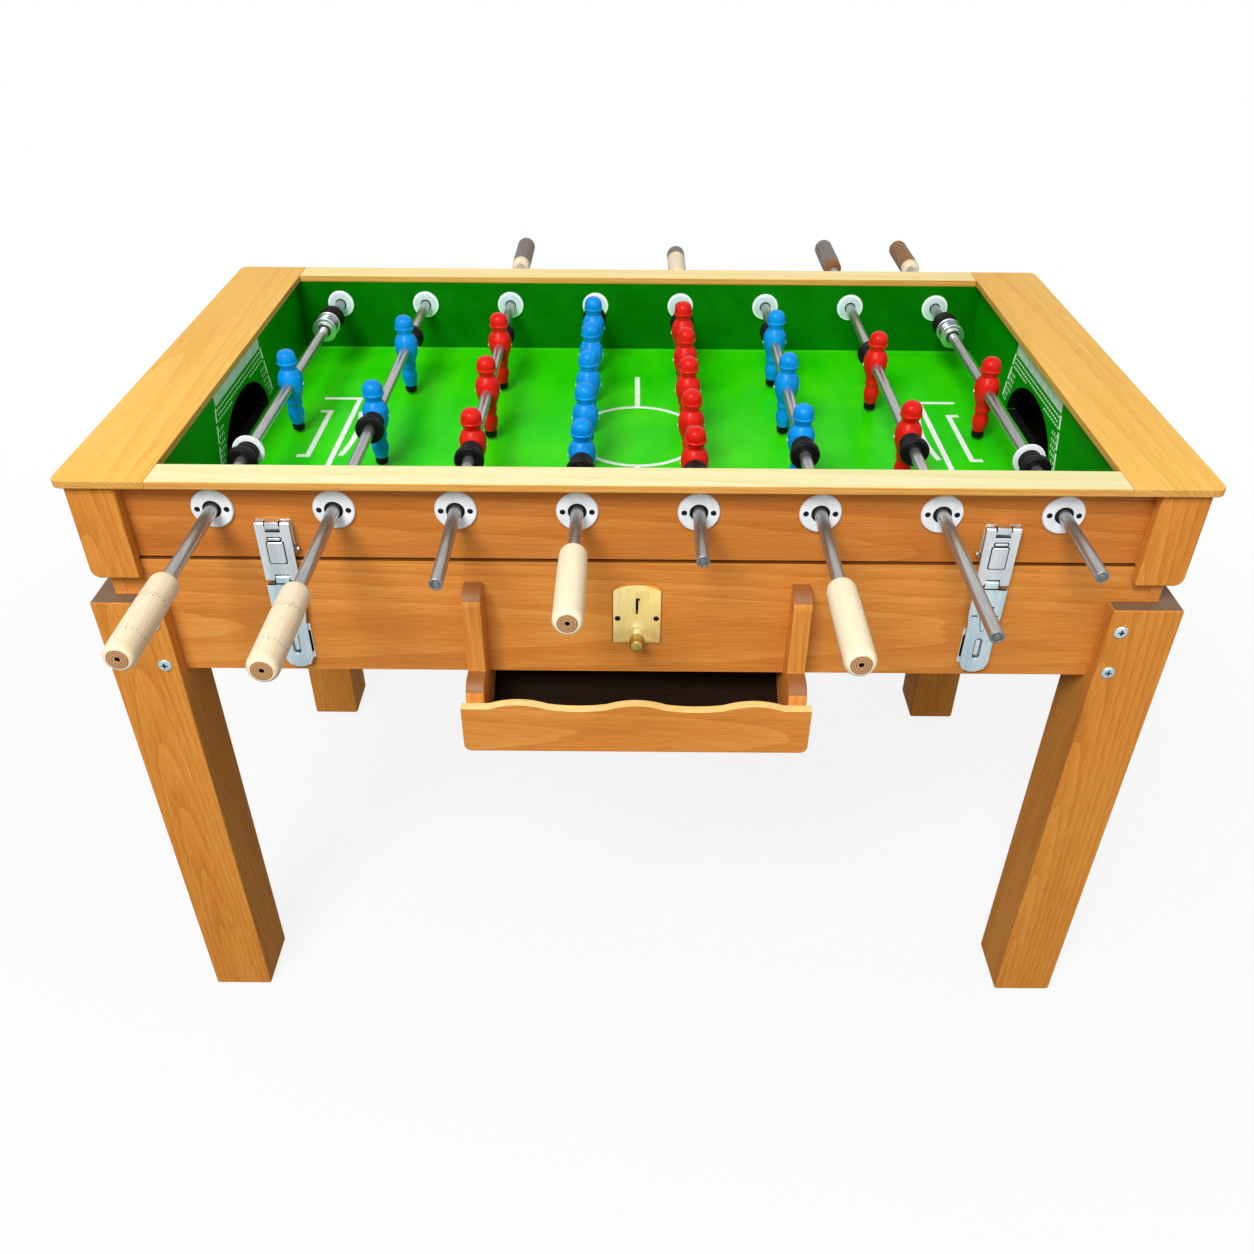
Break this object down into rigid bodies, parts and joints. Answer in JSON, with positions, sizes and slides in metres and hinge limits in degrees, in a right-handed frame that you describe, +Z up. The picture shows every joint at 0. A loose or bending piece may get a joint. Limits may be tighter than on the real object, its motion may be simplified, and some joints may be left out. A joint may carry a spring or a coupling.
{
  "type": "foosball table",
  "caption": "Free-standing wooden foosball table with sliding and spinning rods of men over a hinged play box, hasps, a coin plunger, a ball return tray and square legs.",
  "frame": {"origin": "on the floor under the middle of the table", "axes": "+X along the table towards the red goal, +Y away from the front player, +Z up"},
  "size_m": [1.4, 1.426, 0.944],
  "materials": {
    "stained_wood": "golden brown stain with fine grain, satin",
    "pale_wood": "clear lacquer on pale wood",
    "honey_wood": "honey varnish with flame grain",
    "inner_board": "green lacquered board",
    "field_lacquer": "green lacquer with printed lines",
    "zinc_steel": "bright zinc plating",
    "brass": "brushed brass",
    "rod_steel": "ground steel",
    "handle_wood": "turned natural wood",
    "blue_plastic": "glossy moulding with black boots",
    "red_plastic": "glossy moulding with black boots",
    "black_rubber": "ribbed black rubber",
    "white_nylon": "off-white moulding"
  },
  "bodies": {
    "base": {"legs": "stained_wood", "leg_bolts": "zinc_steel", "base_fittings": "zinc_steel", "base_front_panel": "stained_wood", "base_side_panels": "stained_wood", "ball_ramps": "inner_board", "tray_brackets": "stained_wood", "tray_boards": "stained_wood", "coin_plate": "brass", "coin_mechanism": "zinc_steel"},
    "play_box": {"box_front_panel": "stained_wood", "box_back_panel": "stained_wood", "box_end_panels": "stained_wood", "goal_walls": "field_lacquer", "playfield": "field_lacquer", "top_rails": "pale_wood", "top_end_boards": "honey_wood", "corner_posts": "stained_wood", "rod_bushes": "white_nylon", "lid_fittings": "zinc_steel"},
    "coin_plunger": {"coin_plunger": "brass"},
    "hasp_flap_left": {"hasp_flap_left": "zinc_steel"},
    "hasp_strap_left": {"hasp_strap_left": "zinc_steel"},
    "hasp_flap_right": {"hasp_flap_right": "zinc_steel"},
    "hasp_strap_right": {"hasp_strap_right": "zinc_steel"},
    "rod_1_slider": {"rod_1_bumpers": "black_rubber", "rod_1_spring": "zinc_steel"},
    "rod_1": {"rod_1_bar": "rod_steel", "rod_1_men": "blue_plastic", "rod_1_handle": "handle_wood"},
    "rod_2_slider": {"rod_2_bumpers": "black_rubber"},
    "rod_2": {"rod_2_bar": "rod_steel", "rod_2_men": "blue_plastic", "rod_2_handle": "handle_wood"},
    "rod_3_slider": {"rod_3_bumpers": "black_rubber"},
    "rod_3": {"rod_3_bar": "rod_steel", "rod_3_men": "red_plastic", "rod_3_handle": "handle_wood"},
    "rod_4_slider": {"rod_4_bumpers": "black_rubber"},
    "rod_4": {"rod_4_bar": "rod_steel", "rod_4_men": "blue_plastic", "rod_4_handle": "handle_wood"},
    "rod_5_slider": {"rod_5_bumpers": "black_rubber"},
    "rod_5": {"rod_5_bar": "rod_steel", "rod_5_men": "red_plastic", "rod_5_handle": "handle_wood"},
    "rod_6_slider": {"rod_6_bumpers": "black_rubber"},
    "rod_6": {"rod_6_bar": "rod_steel", "rod_6_men": "blue_plastic", "rod_6_handle": "handle_wood"},
    "rod_7_slider": {"rod_7_bumpers": "black_rubber"},
    "rod_7": {"rod_7_bar": "rod_steel", "rod_7_men": "red_plastic", "rod_7_handle": "handle_wood"},
    "rod_8_slider": {"rod_8_bumpers": "black_rubber", "rod_8_spring": "zinc_steel"},
    "rod_8": {"rod_8_bar": "rod_steel", "rod_8_men": "red_plastic", "rod_8_handle": "handle_wood"}
  },
  "joints": [
    {"name": "lid", "type": "hinge", "parent": "base", "child": "play_box", "pos_m": [0, 0.3899, 0.82], "axis": [-1, 0, 0], "range_deg": [0, 70]},
    {"name": "coin_push", "type": "slide", "parent": "base", "child": "coin_plunger", "axis": [0, 1, 0], "range_m": [0, 0.014], "stiffness_N_per_m": 300, "springref_m": -0.004},
    {"name": "hasp_flap_left", "type": "hinge", "parent": "play_box", "child": "hasp_flap_left", "pos_m": [-0.45, -0.3899, 0.874], "axis": [-1, 0, 0], "range_deg": [0, 95]},
    {"name": "hasp_strap_left", "type": "hinge", "parent": "hasp_flap_left", "child": "hasp_strap_left", "pos_m": [-0.45, -0.3899, 0.797], "axis": [-1, 0, 0], "range_deg": [0, 90]},
    {"name": "hasp_flap_right", "type": "hinge", "parent": "play_box", "child": "hasp_flap_right", "pos_m": [0.45, -0.3899, 0.874], "axis": [-1, 0, 0], "range_deg": [0, 95]},
    {"name": "hasp_strap_right", "type": "hinge", "parent": "hasp_flap_right", "child": "hasp_strap_right", "pos_m": [0.45, -0.3899, 0.797], "axis": [-1, 0, 0], "range_deg": [0, 90]},
    {"name": "rod_1_slide", "type": "slide", "parent": "play_box", "child": "rod_1_slider", "axis": [0, 1, 0], "range_m": [-0.0955, 0.0615]},
    {"name": "rod_1_spin", "type": "hinge", "parent": "rod_1_slider", "child": "rod_1", "pos_m": [-0.5215, 0, 0.892], "axis": [0, 1, 0], "continuous": true},
    {"name": "rod_2_slide", "type": "slide", "parent": "play_box", "child": "rod_2_slider", "axis": [0, 1, 0], "range_m": [-0.14, 0.1497]},
    {"name": "rod_2_spin", "type": "hinge", "parent": "rod_2_slider", "child": "rod_2", "pos_m": [-0.3725, 0, 0.892], "axis": [0, 1, 0], "continuous": true},
    {"name": "rod_3_slide", "type": "slide", "parent": "play_box", "child": "rod_3_slider", "axis": [0, 1, 0], "range_m": [-0.1027, 0.1347]},
    {"name": "rod_3_spin", "type": "hinge", "parent": "rod_3_slider", "child": "rod_3", "pos_m": [-0.2235, 0, 0.892], "axis": [0, 1, 0], "continuous": true},
    {"name": "rod_4_slide", "type": "slide", "parent": "play_box", "child": "rod_4_slider", "axis": [0, 1, 0], "range_m": [-0.0707, 0.0547]},
    {"name": "rod_4_spin", "type": "hinge", "parent": "rod_4_slider", "child": "rod_4", "pos_m": [-0.0745, 0, 0.892], "axis": [0, 1, 0], "continuous": true},
    {"name": "rod_5_slide", "type": "slide", "parent": "play_box", "child": "rod_5_slider", "axis": [0, 1, 0], "range_m": [-0.0507, 0.0747]},
    {"name": "rod_5_spin", "type": "hinge", "parent": "rod_5_slider", "child": "rod_5", "pos_m": [0.0745, 0, 0.892], "axis": [0, 1, 0], "continuous": true},
    {"name": "rod_6_slide", "type": "slide", "parent": "play_box", "child": "rod_6_slider", "axis": [0, 1, 0], "range_m": [-0.1247, 0.1127]},
    {"name": "rod_6_spin", "type": "hinge", "parent": "rod_6_slider", "child": "rod_6", "pos_m": [0.2235, 0, 0.892], "axis": [0, 1, 0], "continuous": true},
    {"name": "rod_7_slide", "type": "slide", "parent": "play_box", "child": "rod_7_slider", "axis": [0, 1, 0], "range_m": [-0.1377, 0.2057]},
    {"name": "rod_7_spin", "type": "hinge", "parent": "rod_7_slider", "child": "rod_7", "pos_m": [0.3725, 0, 0.892], "axis": [0, 1, 0], "continuous": true},
    {"name": "rod_8_slide", "type": "slide", "parent": "play_box", "child": "rod_8_slider", "axis": [0, 1, 0], "range_m": [-0.0875, 0.0695]},
    {"name": "rod_8_spin", "type": "hinge", "parent": "rod_8_slider", "child": "rod_8", "pos_m": [0.5215, 0, 0.892], "axis": [0, 1, 0], "continuous": true}
  ]
}
